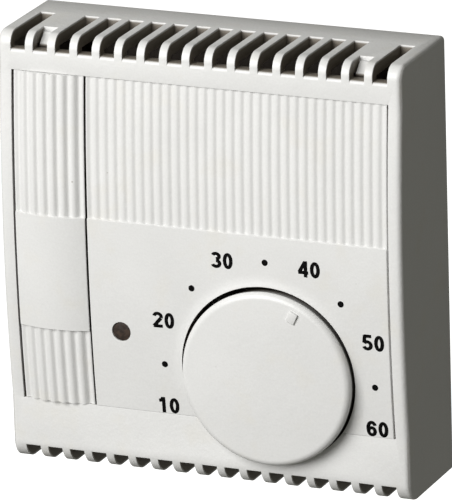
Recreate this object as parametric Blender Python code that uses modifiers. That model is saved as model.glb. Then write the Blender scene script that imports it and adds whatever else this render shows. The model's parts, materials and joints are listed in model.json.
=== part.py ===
"""Surface-mounted wall thermostat with a setting dial.

Frame: metres, +Z up. The origin is the centre of the back, on the wall plane.
The front faces -Y, and +X is to the right of someone who faces the dial.
All sizes below are millimetres. A depth called "out" is measured from the wall
towards the front, so a point that is 5 mm out has y = -5 mm.
"""

import math

import bmesh
import bpy
from mathutils import Matrix, Vector

MM = 0.001

# Driving dimensions of the housing
HOUSING_WIDTH = 78.5
HOUSING_HEIGHT = 82.2
HOUSING_DEPTH = 21.2
UPPER_CORNER_RADIUS = 2.6
LOWER_CORNER_RADIUS = 4.0
END_RADIUS = 1.3
FRONT_WALL = 2.2
SIDE_WALL = 2.2
TOP_WALL = 2.4
CLEARANCE = 0.35

# The inlaid front: a recess whose surface swells gently between its ends
PANEL_TOP = 34.1
PANEL_BOTTOM = -28.7
PANEL_LEFT = -36.47
PANEL_RIGHT = 36.6
PANEL_SPLIT = -22.22
GROOVE_WIDTH = 0.35
GROOVE_OUT = HOUSING_DEPTH - 1.7
FRONT_SWELL = 1.5
POCKET_DEPTH = 0.9
INLAY_BACK = HOUSING_DEPTH - 0.6
INLAY_GAP = 0.3
RIB_ZONE_END = 7.5
LOWER_RIB_START = -14.1
PANEL_RIBS = 33
PANEL_RIB_DEPTH = 0.25
STRIP_RIBS = 7
STRIP_RIB_DEPTH = 0.3
STRIP_SWELL = 1.2
STEPS_PER_RIB = 4

# Ventilation slots, the same row along the top and the bottom front edges
SLOT_COUNT = 17
SLOT_PITCH = 4.4
SLOT_WIDTH = 2.9
UPPER_SLOT_DROP = 3.05
LOWER_SLOT_DROP = 3.2
SLOT_LENGTH = 13.7
CATCH_SLOTS = (1, 15)
CATCH_SLOT_LENGTH = 5.2

# Dial
DIAL_X = 12.7
DIAL_Z = -18.75
DIAL_RADIUS = 16.5
DIAL_BASE_RADIUS = 16.0
DIAL_OPENING = 16.65
DIAL_FACE_OUT = HOUSING_DEPTH + 3.6
DIAL_FILLET = 1.0
DIAL_FLARE = ((16.25, 22.7), (DIAL_BASE_RADIUS, 21.5))
DIAL_SKIRT_OUT = 17.0
DIAL_SKIRT_WALL = 1.6
DIAL_DISC = 1.8
DIAL_REST_ANGLE = 24.5
DIAL_DIMPLE = 0.4
HUB_RADIUS = 4.6
HUB_OUT = 17.4
POINTER_WIDTH = 1.7
POINTER_HEIGHT = 0.4
POINTER_INNER = 12.7
POINTER_OUTER = 14.8
SHAFT_RADIUS = 2.9
SHAFT_BORE = 3.2
WELL_WALL = 1.2
WELL_FLOOR_OUT = 15.8
STOP_ANGLE = 53.5
TURNED_STEPS = 56

# Indicator lamp
LAMP_X = -16.1
LAMP_Z = -13.5
LAMP_HOLE = 2.0
LENS_RADIUS = 1.7

# Base plate and circuit board
PLATE_THICK = 2.6
BOARD_LEFT = -26.5
BOARD_RIGHT = 26.5
BOARD_BOTTOM = -36.0
BOARD_TOP = 20.0
BOARD_BACK = 6.3
BOARD_FRONT = 7.9
PARTS_BACK = 8.2
BOARD_SCREWS = ((-23.8, -33.3), (23.8, -33.3), (-23.8, 4.7), (23.8, 4.7))
SCREW_SHANK = 1.3
SCREW_HOLE = 1.6
CABLE_WINDOW = ((-14.0, 20.4), (14.0, 30.6))
WALL_SLOT_X = 31.5
WALL_SLOT_SIZE = (3.9, 8.0)

# Release catches at the ends of the top row
CATCH_WIDTH = 5.0
CATCH_NOSE_WIDTH = 2.2
CATCH_ROOT_OUT = 3.0
CATCH_TIP_OUT = 18.6
CATCH_NOSE_BACK_OUT = 16.4
CATCH_NOSE_FOOT = 38.7
CATCH_BOTTOM = 36.4
CATCH_TOP = 38.2
CATCH_NOSE_TOP = 40.3

# Terminal block
TERMINAL_COUNT = 6
TERMINAL_PITCH = 8.0
TERMINAL_BOTTOM = 8.5
TERMINAL_TOP = 18.5
TERMINAL_OUT = 18.0

# Relay
RELAY_LOW = (-20.5, -35.5)
RELAY_HIGH = (-7.0, -18.0)
RELAY_OUT = 17.8
RELAY_BASE_OUT = 9.6
RELAY_HINGE_OUT = 10.4
RELAY_HINGE_Z = -22.2

OUTWARD = (math.radians(90), 0, 0)
ALONG_X = (math.radians(90), 0, math.radians(90))

for old_object in list(bpy.data.objects):
    bpy.data.objects.remove(old_object, do_unlink=True)

PARTS = bpy.data.collections.new("wall_thermostat")
CUTTERS = bpy.data.collections.new("cutters")
bpy.context.scene.collection.children.link(PARTS)
bpy.context.scene.collection.children.link(CUTTERS)


def make_material(name, colour, roughness=0.5, metallic=0.0):
    """Return a Principled material with one colour."""
    material = bpy.data.materials.new(name)
    material.use_nodes = True
    shader = material.node_tree.nodes["Principled BSDF"]
    shader.inputs["Base Color"].default_value = (*colour, 1.0)
    shader.inputs["Roughness"].default_value = roughness
    shader.inputs["Metallic"].default_value = metallic
    return material


MATERIALS = {
    "housing": make_material("housing_plastic", (0.80, 0.80, 0.78), 0.55),
    "inlay": make_material("inlay_plastic", (0.82, 0.82, 0.80), 0.5),
    "dial": make_material("dial_plastic", (0.84, 0.84, 0.82), 0.45),
    "base": make_material("base_plastic", (0.78, 0.78, 0.75), 0.6),
    "lens": make_material("smoked_lens", (0.09, 0.04, 0.03), 0.15),
    "lamp": make_material("lamp_red", (0.55, 0.05, 0.03), 0.2),
    "board": make_material("board_green", (0.03, 0.20, 0.09), 0.5),
    "black": make_material("black_plastic", (0.03, 0.03, 0.03), 0.5),
    "steel": make_material("steel", (0.62, 0.62, 0.62), 0.3, 1.0),
    "brass": make_material("brass", (0.72, 0.55, 0.25), 0.3, 1.0),
    "copper": make_material("copper_wire", (0.75, 0.32, 0.15), 0.35, 1.0),
    "grey": make_material("grey_plastic", (0.35, 0.36, 0.38), 0.5),
    "red": make_material("red_plastic", (0.60, 0.05, 0.04), 0.5),
    "blue": make_material("blue_plastic", (0.05, 0.14, 0.50), 0.5),
    "yellow": make_material("yellow_film", (0.75, 0.55, 0.10), 0.45),
    "aluminium": make_material("aluminium_can", (0.70, 0.70, 0.72), 0.3, 1.0),
    "glass": make_material("fuse_glass", (0.80, 0.85, 0.85), 0.1),
}


# --- general helpers -------------------------------------------------------

def swell(z):
    """How far the inlaid front stands out at height z, on one circular arc."""
    middle = (PANEL_TOP + PANEL_BOTTOM) / 2
    half = (PANEL_TOP - PANEL_BOTTOM) / 2
    radius = (half ** 2 + FRONT_SWELL ** 2) / (2 * FRONT_SWELL)
    offset = min(abs(z - middle), half)
    return math.sqrt(radius ** 2 - offset ** 2) - (radius - FRONT_SWELL)


def link(obj, material, collection=PARTS):
    """Give an object its material and collection."""
    if material:
        obj.data.materials.clear()
        obj.data.materials.append(MATERIALS[material])
    collection.objects.link(obj)
    return obj


def link_cutter(obj):
    """Put a cutter in its own collection, shown as wire and never rendered."""
    CUTTERS.objects.link(obj)
    obj.hide_render = True
    obj.display_type = "WIRE"
    return obj


def object_from_bmesh(name, bm):
    """Turn a bmesh into an object that no collection holds yet."""
    bmesh.ops.recalc_face_normals(bm, faces=bm.faces)
    mesh = bpy.data.meshes.new(name)
    bm.to_mesh(mesh)
    bm.free()
    return bpy.data.objects.new(name, mesh)


def box_bmesh(low, high, bevel=0.0):
    """Box between two (x, out, z) corners in millimetres."""
    bm = bmesh.new()
    bmesh.ops.create_cube(bm, size=1.0)
    low_point = Vector((low[0], -high[1], low[2])) * MM
    high_point = Vector((high[0], -low[1], high[2])) * MM
    size = high_point - low_point
    middle = (high_point + low_point) / 2
    for vert in bm.verts:
        vert.co = Vector((vert.co[i] * size[i] + middle[i] for i in range(3)))
    if bevel:
        bmesh.ops.bevel(bm, geom=list(bm.edges), offset=bevel * MM, segments=2,
                        profile=0.5, affect="EDGES")
    return bm


def box(name, low, high, bevel=0.0):
    """Box object between two (x, out, z) corners in millimetres."""
    return object_from_bmesh(name, box_bmesh(low, high, bevel))


def merge(name, pieces):
    """Join separate cutter objects that don't touch into one mesh."""
    bm = bmesh.new()
    for piece in pieces:
        start = len(bm.verts)
        bm.from_mesh(piece.data)
        bm.verts.ensure_lookup_table()
        for vert in bm.verts[start:]:
            vert.co = piece.matrix_basis @ vert.co
        bpy.data.objects.remove(piece, do_unlink=True)
    return object_from_bmesh(name, bm)


def cylinder(name, x, z, radius, back, front, segments=24):
    """Cylinder along Y from one depth to another, centred on (x, z)."""
    bm = bmesh.new()
    bmesh.ops.create_cone(bm, cap_ends=True, segments=segments, radius1=radius * MM,
                          radius2=radius * MM, depth=(front - back) * MM)
    turn = Matrix.Rotation(math.radians(90), 4, "X")
    place = Matrix.Translation(Vector((x, -(front + back) / 2, z)) * MM)
    bmesh.ops.transform(bm, matrix=place @ turn, verts=bm.verts)
    return object_from_bmesh(name, bm)


def turned(name, profile, x, z, steps=TURNED_STEPS):
    """Revolve (radius, out) points about the Y line through (x, z).

    The points run down the outer side, from the front to the wall side.
    """
    mesh = bpy.data.meshes.new(name)
    points = [(radius * MM, 0, out * MM) for radius, out in profile]
    closed = profile[0][0] > 0
    edges = [(i, i + 1) for i in range(len(points) - 1)]
    if closed:
        edges.append((len(points) - 1, 0))
    mesh.from_pydata(points, edges, [])
    obj = bpy.data.objects.new(name, mesh)
    obj.rotation_euler = OUTWARD
    obj.location = Vector((x, 0, z)) * MM
    screw = obj.modifiers.new("Screw", "SCREW")
    screw.steps = steps
    screw.render_steps = steps
    screw.use_merge_vertices = True
    screw.merge_threshold = 0.00001
    screw.use_smooth_shade = False
    return obj


def arc(centre, radius, start, end, count):
    """Points on an arc, in degrees, from start to end."""
    points = []
    for index in range(count + 1):
        angle = math.radians(start + (end - start) * index / count)
        points.append((centre[0] + radius * math.cos(angle),
                       centre[1] + radius * math.sin(angle)))
    return points


def evaluated_mesh(obj, name):
    """Freeze an object's modifiers or curve into a welded mesh object."""
    holder = bpy.context.scene.collection
    if obj.name not in holder.objects:
        holder.objects.link(obj)
    bpy.context.view_layer.update()
    graph = bpy.context.evaluated_depsgraph_get()
    mesh = bpy.data.meshes.new_from_object(obj.evaluated_get(graph))
    bm = bmesh.new()
    bm.from_mesh(mesh)
    bmesh.ops.remove_doubles(bm, verts=bm.verts, dist=0.000001)
    bmesh.ops.transform(bm, matrix=obj.matrix_world, verts=bm.verts)
    bpy.data.objects.remove(obj, do_unlink=True)
    return object_from_bmesh(name, bm)


def outline_along_x(name, points, half_width):
    """Extrude a closed (out, z) outline to both sides along X."""
    curve = bpy.data.curves.new(name, "CURVE")
    curve.dimensions = "2D"
    curve.fill_mode = "BOTH"
    curve.extrude = half_width * MM
    spline = curve.splines.new("POLY")
    spline.points.add(len(points) - 1)
    for point, (out, z) in zip(spline.points, points):
        point.co = (-out * MM, z * MM, 0, 1)
    spline.use_cyclic_u = True
    obj = bpy.data.objects.new(name + "_outline", curve)
    obj.rotation_euler = ALONG_X
    return evaluated_mesh(obj, name)


def combine(target, other, operation):
    """Add an exact Boolean that uses a hidden mesh object."""
    if other.name not in CUTTERS.objects:
        link_cutter(other)
    modifier = target.modifiers.new(other.name, "BOOLEAN")
    modifier.operation = operation
    modifier.solver = "EXACT"
    modifier.object = other
    return target


def cut(target, cutter):
    """Subtract a cutter."""
    return combine(target, cutter, "DIFFERENCE")


def add(target, piece):
    """Join a piece that overlaps the target."""
    return combine(target, piece, "UNION")


def smooth(obj, angle=35):
    """Shade a round piece smooth, with sharp edges where it turns."""
    obj.data.shade_smooth()
    obj.data.set_sharp_from_angle(angle=math.radians(angle))
    return obj


# --- housing ---------------------------------------------------------------

def housing_outline():
    """Side view of the housing as (out, z) points."""
    half = HOUSING_HEIGHT / 2
    front = HOUSING_DEPTH
    lower = LOWER_CORNER_RADIUS
    upper = UPPER_CORNER_RADIUS
    points = [(0.0, -half)]
    points += arc((front - lower, -half + lower), lower, -90, 0, 6)
    count = 10
    for index in range(count + 1):
        z = PANEL_BOTTOM + (PANEL_TOP - PANEL_BOTTOM) * index / count
        points.append((front + swell(z), z))
    points += arc((front - upper, half - upper), upper, 0, 90, 4)
    points.append((0.0, half))
    return points


def round_housing_ends(obj):
    """Round the edges of the two end faces, except those on the wall and underneath."""
    bm = bmesh.new()
    bm.from_mesh(obj.data)
    bmesh.ops.dissolve_limit(bm, angle_limit=math.radians(0.1), verts=bm.verts,
                             edges=bm.edges)
    end_x = HOUSING_WIDTH / 2 * MM
    edges = []
    for edge in bm.edges:
        on_end = all(abs(abs(vert.co.x) - end_x) < MM * 0.01 for vert in edge.verts)
        on_wall = all(abs(vert.co.y) < MM * 0.01 for vert in edge.verts)
        underneath = all(vert.co.z < -HOUSING_HEIGHT / 2 * MM + MM * 0.01 for vert in edge.verts)
        if on_end and not on_wall and not underneath:
            edges.append(edge)
    bmesh.ops.bevel(bm, geom=edges, offset=END_RADIUS * MM, segments=3, profile=0.5,
                    affect="EDGES", clamp_overlap=True)
    bm.to_mesh(obj.data)
    bm.free()


def slot_cutters(upper):
    """One row of slots that wraps the front edge of the top or bottom wall."""
    pieces = []
    first = -SLOT_PITCH * (SLOT_COUNT - 1) / 2
    half = HOUSING_HEIGHT / 2
    for index in range(SLOT_COUNT):
        x = first + SLOT_PITCH * index
        length = SLOT_LENGTH
        if upper and index in CATCH_SLOTS:
            length = CATCH_SLOT_LENGTH
        low_z = half - UPPER_SLOT_DROP if upper else -half - 1
        high_z = half + 1 if upper else -half + LOWER_SLOT_DROP
        pieces.append(box("slot", (x - SLOT_WIDTH / 2, HOUSING_DEPTH - length, low_z),
                          (x + SLOT_WIDTH / 2, HOUSING_DEPTH + 2, high_z)))
    return merge("upper_slots" if upper else "lower_slots", pieces)


def build_cover():
    """Front housing: a shell open to the wall, with slots, recess and dial well."""
    half_x = HOUSING_WIDTH / 2
    half_z = HOUSING_HEIGHT / 2
    cover = outline_along_x("cover_shell", housing_outline(), half_x)
    round_housing_ends(cover)
    link(cover, "housing")
    cut(cover, box("cavity", (-half_x + SIDE_WALL, -2, -half_z + TOP_WALL),
                   (half_x - SIDE_WALL, HOUSING_DEPTH - FRONT_WALL, half_z - TOP_WALL)))
    cut(cover, box("inlay_pocket",
                   (PANEL_LEFT - GROOVE_WIDTH / 2, HOUSING_DEPTH - POCKET_DEPTH, PANEL_BOTTOM),
                   (PANEL_RIGHT + GROOVE_WIDTH / 2, HOUSING_DEPTH + 4, PANEL_TOP)))
    # Each groove cutter is a hair narrower than the recess, so no two faces coincide.
    hair = 0.01
    reach = GROOVE_WIDTH / 2 - hair
    grooves = []
    for x in (PANEL_LEFT, PANEL_SPLIT, PANEL_RIGHT):
        grooves.append(box("groove", (x - reach, GROOVE_OUT, PANEL_BOTTOM + hair),
                           (x + reach, HOUSING_DEPTH + 3, PANEL_TOP - hair)))
    cut(cover, merge("groove_cutters", grooves))
    cut(cover, slot_cutters(True))
    cut(cover, slot_cutters(False))
    add(cover, cylinder("well_block", DIAL_X, DIAL_Z, DIAL_OPENING + WELL_WALL,
                        WELL_FLOOR_OUT - WELL_WALL, HOUSING_DEPTH - 1.6, TURNED_STEPS))
    cut(cover, cylinder("well_space", DIAL_X, DIAL_Z, DIAL_OPENING, WELL_FLOOR_OUT,
                        HOUSING_DEPTH + 4, TURNED_STEPS))
    cut(cover, cylinder("bushing_hole", DIAL_X, DIAL_Z, 4.4, 12, 17, 32))
    add(cover, box("stop_fin", (DIAL_X - 0.8, WELL_FLOOR_OUT - 0.6, DIAL_Z - 13.9),
                   (DIAL_X + 0.8, 19.0, DIAL_Z - 9.3)))
    cut(cover, cylinder("lamp_hole", LAMP_X, LAMP_Z, LAMP_HOLE, 10, 30, 24))


# --- inlaid front ----------------------------------------------------------

def rib_dip(x, start, end, count, depth):
    """Depth below the crests at x, with half a rib at either end of the row."""
    phase = (x - start) / (end - start) * count + 0.5
    across = (phase - math.floor(phase)) * 2 - 1
    return depth * across ** 2


def swept_plate(name, left, right, ribs, dip, zones, extra):
    """Plate with a flat back and a computed front, from a displaced grid.

    zones lists (low z, high z, ribbed) bands. extra adds a height across X.
    """
    columns = ribs * STEPS_PER_RIB
    rows = []
    for low, high, ribbed in zones:
        count = max(2, round((high - low) / 7))
        for index in range(count + 1):
            rows.append((low + (high - low) * index / count, ribbed))
    bm = bmesh.new()
    bmesh.ops.create_grid(bm, x_segments=columns, y_segments=len(rows) - 1, size=0.5)
    for vert in bm.verts:
        x = left + (right - left) * (vert.co.x + 0.5)
        z, ribbed = rows[round((vert.co.y + 0.5) * (len(rows) - 1))]
        out = HOUSING_DEPTH + swell(z) + extra(x)
        if ribbed:
            out -= rib_dip(x, left, right, ribs, dip)
        vert.co = Vector((x, -out, z)) * MM
    face = bmesh.ops.extrude_face_region(bm, geom=list(bm.faces))
    for vert in (item for item in face["geom"] if isinstance(item, bmesh.types.BMVert)):
        vert.co.y = -INLAY_BACK * MM
    bmesh.ops.dissolve_limit(bm, angle_limit=math.radians(0.05), verts=bm.verts,
                             edges=bm.edges)
    return object_from_bmesh(name, bm)


def build_fascia():
    """Main inlay: round vertical ribs above, a smooth dial field below."""
    edge = GROOVE_WIDTH / 2
    zones = [(PANEL_BOTTOM + INLAY_GAP, RIB_ZONE_END, False),
             (RIB_ZONE_END + 0.05, PANEL_TOP - INLAY_GAP, True)]
    fascia = swept_plate("fascia_panel", PANEL_SPLIT + edge, PANEL_RIGHT - edge,
                         PANEL_RIBS, PANEL_RIB_DEPTH, zones, lambda x: 0.0)
    link(fascia, "inlay")
    cut(fascia, cylinder("fascia_opening", DIAL_X, DIAL_Z, DIAL_OPENING, 18, 30,
                         TURNED_STEPS))
    cut(fascia, cylinder("fascia_lamp_hole", LAMP_X, LAMP_Z, LAMP_HOLE, 18, 30, 24))


def build_strip():
    """Narrow inlay at the left: a rounded bar with ribs above and below a plain band."""
    edge = GROOVE_WIDTH / 2
    left = PANEL_LEFT + edge
    right = PANEL_SPLIT - edge
    middle = (left + right) / 2
    half = (right - left) / 2
    zones = [(PANEL_BOTTOM + INLAY_GAP, LOWER_RIB_START, True),
             (LOWER_RIB_START + 0.05, RIB_ZONE_END, False),
             (RIB_ZONE_END + 0.05, PANEL_TOP - INLAY_GAP, True)]
    strip = swept_plate("side_strip", left, right, STRIP_RIBS, STRIP_RIB_DEPTH, zones,
                        lambda x: STRIP_SWELL * (1 - ((x - middle) / half) ** 2))
    link(strip, "inlay")


# --- dial ------------------------------------------------------------------

def build_dial():
    """Round setting dial, hollow behind, with a hub and a raised pointer."""
    face = DIAL_FACE_OUT
    inner = DIAL_BASE_RADIUS - DIAL_SKIRT_WALL
    under = face - DIAL_DISC
    bore_end = under - DIAL_DIMPLE
    profile = [(0.0, face)]
    profile += arc((DIAL_RADIUS - DIAL_FILLET, face - DIAL_FILLET), DIAL_FILLET, 90, 0, 4)
    profile += DIAL_FLARE
    profile += [(DIAL_BASE_RADIUS, DIAL_SKIRT_OUT), (inner, DIAL_SKIRT_OUT), (inner, under),
                (HUB_RADIUS, under), (HUB_RADIUS, HUB_OUT), (SHAFT_BORE, HUB_OUT),
                (SHAFT_BORE, bore_end), (0.0, bore_end)]
    dial = evaluated_mesh(turned("dial_turned", profile, DIAL_X, DIAL_Z), "dial_knob")
    pointer = box("pointer_bar", (-POINTER_WIDTH / 2, face - 0.5, POINTER_INNER),
                  (POINTER_WIDTH / 2, face + POINTER_HEIGHT, POINTER_OUTER))
    turn = Matrix.Rotation(math.radians(DIAL_REST_ANGLE), 4, "Y")
    pointer.data.transform(Matrix.Translation(Vector((DIAL_X, 0, DIAL_Z)) * MM) @ turn)
    # The dial's origin is on its axis.
    centre = Vector((DIAL_X, 0, DIAL_Z)) * MM
    dial.data.transform(Matrix.Translation(-centre))
    dial.location = centre
    link(smooth(dial), "dial")
    add(dial, pointer)


def build_limit_ring(name, inner, outer, lug_angle, material):
    """Range-limit ring held in the dial, with a lug that meets the stop fin."""
    profile = [(outer, 22.9), (outer, 21.6), (inner, 21.6), (inner, 22.9)]
    ring = evaluated_mesh(turned(name + "_turned", profile, DIAL_X, DIAL_Z, 40), name)
    lug = box(name + "_lug", (-0.9, 18.0, inner + 0.15), (0.9, 22.2, outer - 0.15))
    turn = Matrix.Rotation(math.radians(DIAL_REST_ANGLE + lug_angle), 4, "Y")
    lug.data.transform(Matrix.Translation(Vector((DIAL_X, 0, DIAL_Z)) * MM) @ turn)
    link(smooth(ring), material)
    add(ring, lug)


def build_setting_control():
    """Rotary control under the dial: case, bushing, shaft and wiper."""
    case = box("control_case", (DIAL_X - 7.6, PARTS_BACK, DIAL_Z - 7.6),
               (DIAL_X + 7.6, 12.9, DIAL_Z + 7.6), 0.5)
    link(case, "black")
    cut(case, cylinder("wiper_space", DIAL_X, DIAL_Z, 6.6, 9.4, 14, 32))
    bushing = [(3.9, 16.5), (3.9, 14.1), (7.2, 14.1), (7.2, 13.2), (SHAFT_BORE, 13.2),
               (SHAFT_BORE, 16.5)]
    link(smooth(turned("control_bushing", bushing, DIAL_X, DIAL_Z, 32)), "steel")
    shaft = [(0.0, 22.4), (SHAFT_RADIUS - 0.4, 22.4), (SHAFT_RADIUS, 22.0),
             (SHAFT_RADIUS, 9.8), (0.0, 9.8)]
    link(smooth(turned("control_shaft", shaft, DIAL_X, DIAL_Z, 32)), "steel")
    wiper = [(5.8, 11.6), (5.8, 10.8), (SHAFT_BORE, 10.8), (SHAFT_BORE, 11.6)]
    link(smooth(turned("control_wiper", wiper, DIAL_X, DIAL_Z, 32)), "brass")


# --- lamp ------------------------------------------------------------------

def build_lamp():
    """Smoked lens in the front, with the lamp and its spacer on the board."""
    lens = [(0.0, 22.2), (0.9, 22.15), (LENS_RADIUS - 0.2, 22.0), (LENS_RADIUS, 21.8),
            (LENS_RADIUS, 18.9), (2.7, 18.9), (2.7, 17.9), (0.0, 17.9)]
    link(smooth(turned("lamp_lens", lens, LAMP_X, LAMP_Z, 32)), "lens")
    dome = arc((0.0, 15.6), 1.5, 90, 0, 5)
    lamp = [(abs(radius), out) for radius, out in dome]
    lamp[0] = (0.0, 17.1)
    lamp += [(1.5, 12.6), (1.9, 12.6), (1.9, 11.7), (0.0, 11.7)]
    link(smooth(turned("indicator_lamp", lamp, LAMP_X, LAMP_Z, 20)), "lamp")
    link(cylinder("lamp_spacer", LAMP_X, LAMP_Z, 2.1, PARTS_BACK, 11.4, 20), "black")


# --- base ------------------------------------------------------------------

def build_base():
    """Back plate with board bosses, a cable window and two wall-screw slots."""
    half_x = HOUSING_WIDTH / 2 - SIDE_WALL - CLEARANCE
    half_z = HOUSING_HEIGHT / 2 - TOP_WALL - CLEARANCE
    plate = box("base_plate", (-half_x, 0, -half_z), (half_x, PLATE_THICK, half_z))
    link(plate, "base")
    bosses = []
    bores = []
    for x, z in BOARD_SCREWS:
        bosses.append(cylinder("boss", x, z, 2.6, PLATE_THICK - 1.0, BOARD_BACK - 0.3, 20))
        bores.append(cylinder("bore", x, z, SCREW_HOLE, 1.2, BOARD_FRONT, 16))
    add(plate, merge("board_bosses", bosses))
    low, high = CABLE_WINDOW
    openings = [box("window", (low[0], -2, low[1]), (high[0], 6, high[1]))]
    width, height = WALL_SLOT_SIZE
    for x in (-WALL_SLOT_X, WALL_SLOT_X):
        openings.append(box("wall_slot", (x - width / 2, -2, -height / 2),
                            (x + width / 2, 6, height / 2)))
    cut(plate, merge("plate_openings", openings + bores))


def build_board():
    """Circuit board with four screw holes."""
    board = box("circuit_board", (BOARD_LEFT, BOARD_BACK, BOARD_BOTTOM),
                (BOARD_RIGHT, BOARD_FRONT, BOARD_TOP))
    link(board, "board")
    holes = [cylinder("hole", x, z, SCREW_HOLE, 4, 10, 16) for x, z in BOARD_SCREWS]
    cut(board, merge("board_holes", holes))


def build_screw(name, x, z, head_radius, head_back, head_front, tip, shank):
    """Slotted pan-head screw that points to the wall."""
    profile = [(0.0, head_front), (head_radius * 0.8, head_front),
               (head_radius, head_front - 0.5), (head_radius, head_back),
               (shank, head_back), (shank, tip), (0.0, tip)]
    screw = evaluated_mesh(turned(name + "_turned", profile, x, z, 20), name)
    link(smooth(screw), "steel")
    cut(screw, box(name + "_drive", (x - head_radius - 1, head_front - 0.8, z - 0.35),
                   (x + head_radius + 1, head_front + 1, z + 0.35)))


def build_catch(name, x):
    """Flexing arm of the base, with a sloping nose that snaps into an end slot."""
    centre = Vector((x, -CATCH_ROOT_OUT, (CATCH_BOTTOM + CATCH_TOP) / 2)) * MM
    arm = box(name, (x - CATCH_WIDTH / 2, CATCH_ROOT_OUT, CATCH_BOTTOM),
              (x + CATCH_WIDTH / 2, CATCH_TIP_OUT - 0.1, CATCH_TOP))
    arm.data.transform(Matrix.Translation(-centre))
    arm.location = centre
    link(arm, "base")
    root = CATCH_TOP - 0.6
    nose = outline_along_x(name + "_nose",
                           [(CATCH_TIP_OUT, root), (CATCH_TIP_OUT, CATCH_NOSE_FOOT),
                            (CATCH_NOSE_BACK_OUT + 0.3, CATCH_NOSE_TOP),
                            (CATCH_NOSE_BACK_OUT, CATCH_NOSE_TOP), (CATCH_NOSE_BACK_OUT, root)],
                           CATCH_NOSE_WIDTH / 2)
    nose.data.transform(Matrix.Translation(Vector((x, 0, 0)) * MM))
    add(arm, nose)


# --- parts on the board ----------------------------------------------------

def build_terminals():
    """Terminal block with a wire entry and a clamp screw for each pole."""
    width = TERMINAL_COUNT * TERMINAL_PITCH
    block = box("terminal_block", (-width / 2, PARTS_BACK, TERMINAL_BOTTOM),
                (width / 2, TERMINAL_OUT, TERMINAL_TOP))
    link(block, "grey")
    wells = []
    entries = []
    middle = (TERMINAL_BOTTOM + TERMINAL_TOP) / 2
    for index in range(TERMINAL_COUNT):
        x = -width / 2 + TERMINAL_PITCH * (index + 0.5)
        wells.append(cylinder("well", x, middle, 2.6, 12.6, 20, 20))
        entries.append(box("entry", (x - 1.9, 9.6, middle), (x + 1.9, 13.4, TERMINAL_TOP + 2)))
        build_screw("clamp_screw_%d" % (index + 1), x, middle, 2.3, 15.4, 17.2, 13.0, 1.5)
    cut(block, merge("terminal_wells", wells))
    cut(block, merge("terminal_entries", entries))


def build_relay():
    """Open relay under a dust cover: yoke, coil and a swinging armature."""
    (low_x, low_z), (high_x, high_z) = RELAY_LOW, RELAY_HIGH
    middle = (low_x + high_x) / 2
    link(box("relay_base", (low_x, PARTS_BACK, low_z), (high_x, RELAY_BASE_OUT, high_z)),
         "black")
    cap = box("relay_cap", (low_x, RELAY_BASE_OUT + 0.3, low_z), (high_x, RELAY_OUT, high_z))
    link(cap, "blue")
    cut(cap, box("relay_space", (low_x + 0.8, 4, low_z + 0.8),
                 (high_x - 0.8, RELAY_OUT - 0.8, high_z - 0.8)))
    yoke = box("relay_yoke", (middle - 4, RELAY_BASE_OUT + 0.3, low_z + 1.2),
               (middle + 4, 16.4, low_z + 2.2))
    link(yoke, "steel")
    add(yoke, box("yoke_foot", (middle - 4, RELAY_BASE_OUT + 0.3, low_z + 1.4),
                  (middle + 4, RELAY_BASE_OUT + 1.1, RELAY_HINGE_Z - 1.2)))
    coil_profile = [(0.0, -24.0), (3.0, -24.0), (3.0, -24.8), (2.5, -24.8), (2.5, -31.6),
                    (3.0, -31.6), (3.0, -32.6), (0.0, -32.6)]
    coil = turned("relay_coil", coil_profile, middle, 0, 24)
    coil.rotation_euler = (0, 0, 0)
    coil.location = Vector((middle, -14.0, 0)) * MM
    link(smooth(coil), "copper")
    centre = Vector((middle, -RELAY_HINGE_OUT, RELAY_HINGE_Z)) * MM
    armature = box("relay_armature", (middle - 3.6, RELAY_HINGE_OUT - 0.2, RELAY_HINGE_Z - 0.5),
                   (middle + 3.6, 16.4, RELAY_HINGE_Z + 0.5))
    armature.data.transform(Matrix.Translation(-centre))
    armature.location = centre
    link(armature, "steel")


def build_small_parts():
    """Capacitors, fuse, surge limiter, controller chip and air sensor."""
    link(box("film_capacitor", (-25.6, PARTS_BACK, -17.0), (-19.8, 16.6, -1.6), 0.6), "yellow")
    can = [(0.0, 17.2), (3.6, 17.2), (4.0, 16.8), (4.0, 9.8), (3.7, 9.5), (4.0, 9.2),
           (4.0, PARTS_BACK), (0.0, PARTS_BACK)]
    link(smooth(turned("smoothing_capacitor", can, -11.5, -4.9, 24)), "aluminium")
    fuse = turned("fuse_tube", [(0.0, 0.5), (2.3, 0.5), (2.3, -19.5), (0.0, -19.5)], 0, 0, 16)
    fuse.rotation_euler = (0, math.radians(90), 0)
    fuse.location = Vector((0, -11.8, 4.4)) * MM
    link(smooth(fuse), "glass")
    for name, x in (("fuse_clip_left", -17.5), ("fuse_clip_right", -2.5)):
        clip = box(name, (x - 1.2, PARTS_BACK, 1.0), (x + 1.2, 13.0, 7.8))
        link(clip, "steel")
        cut(clip, box(name + "_mouth", (x - 2, 9.2, 1.8), (x + 2, 15, 7.0)))
    surge = cylinder("surge_limiter", 7.0, 4.2, 4.0, 0, 3.2, 24)
    surge.data.transform(Matrix.Translation(Vector((-7.0, 1.6, -4.2)) * MM))
    surge.data.transform(Matrix.Rotation(math.radians(90), 4, "X"))
    surge.location = Vector((7.0, -12.5, 4.2)) * MM
    link(smooth(surge), "red")
    link(box("controller_chip", (13.4, PARTS_BACK, 1.2), (20.4, 11.4, 7.4), 0.2), "black")
    sensor = [(0.0, 13.4), (0.9, 13.1), (1.4, 12.3), (1.2, 11.2), (0.5, 10.4),
              (0.5, PARTS_BACK), (0.0, PARTS_BACK)]
    link(smooth(turned("air_sensor", sensor, 4.0, -34.0, 16)), "black")


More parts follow.
